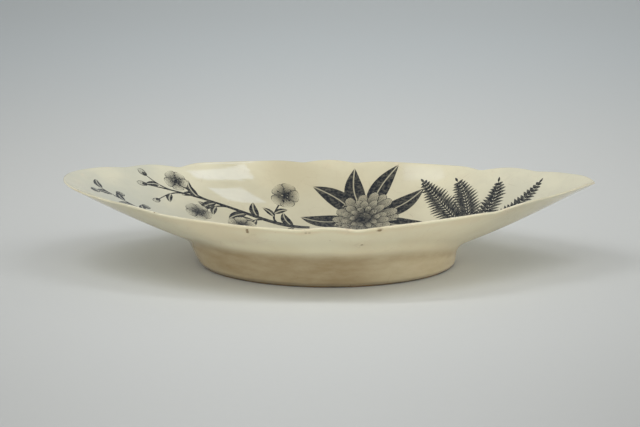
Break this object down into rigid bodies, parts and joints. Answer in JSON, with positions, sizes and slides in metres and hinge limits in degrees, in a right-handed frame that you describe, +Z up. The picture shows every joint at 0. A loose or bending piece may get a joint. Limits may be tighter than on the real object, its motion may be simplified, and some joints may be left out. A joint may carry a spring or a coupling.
{
  "type": "footed oval dish",
  "caption": "Boat-shaped oval earthenware dish with a lobed rim that rises at both ends, a raised oval foot and a glossy cream glaze, for serving food.",
  "frame": {"origin": "middle of the dish on the surface that the foot stands on", "axes": "+X along the length towards the narrow end, +Y across the width, +Z up"},
  "size_m": [0.26, 0.15, 0.0419],
  "materials": {
    "biscuit_body": "fired cream earthenware, unglazed, hidden under the glaze",
    "bare_foot": "fired earthenware with a wiped bare standing edge, stained brown by use",
    "slip": "fired slip smoothed into a cove, hidden under the glaze",
    "cream_glaze": "glossy clear lead glaze over cream clay, faint crazing and tan stains, blue-black print under it",
    "recess_glaze": "glossy clear glaze over cream clay, pooled and stained in the corner"
  },
  "bodies": {
    "root": {"moulded_body": "biscuit_body", "foot_ring": "bare_foot", "luting_slip": "slip", "glaze_coat": "cream_glaze", "recess_glaze": "recess_glaze"}
  },
  "joints": []
}
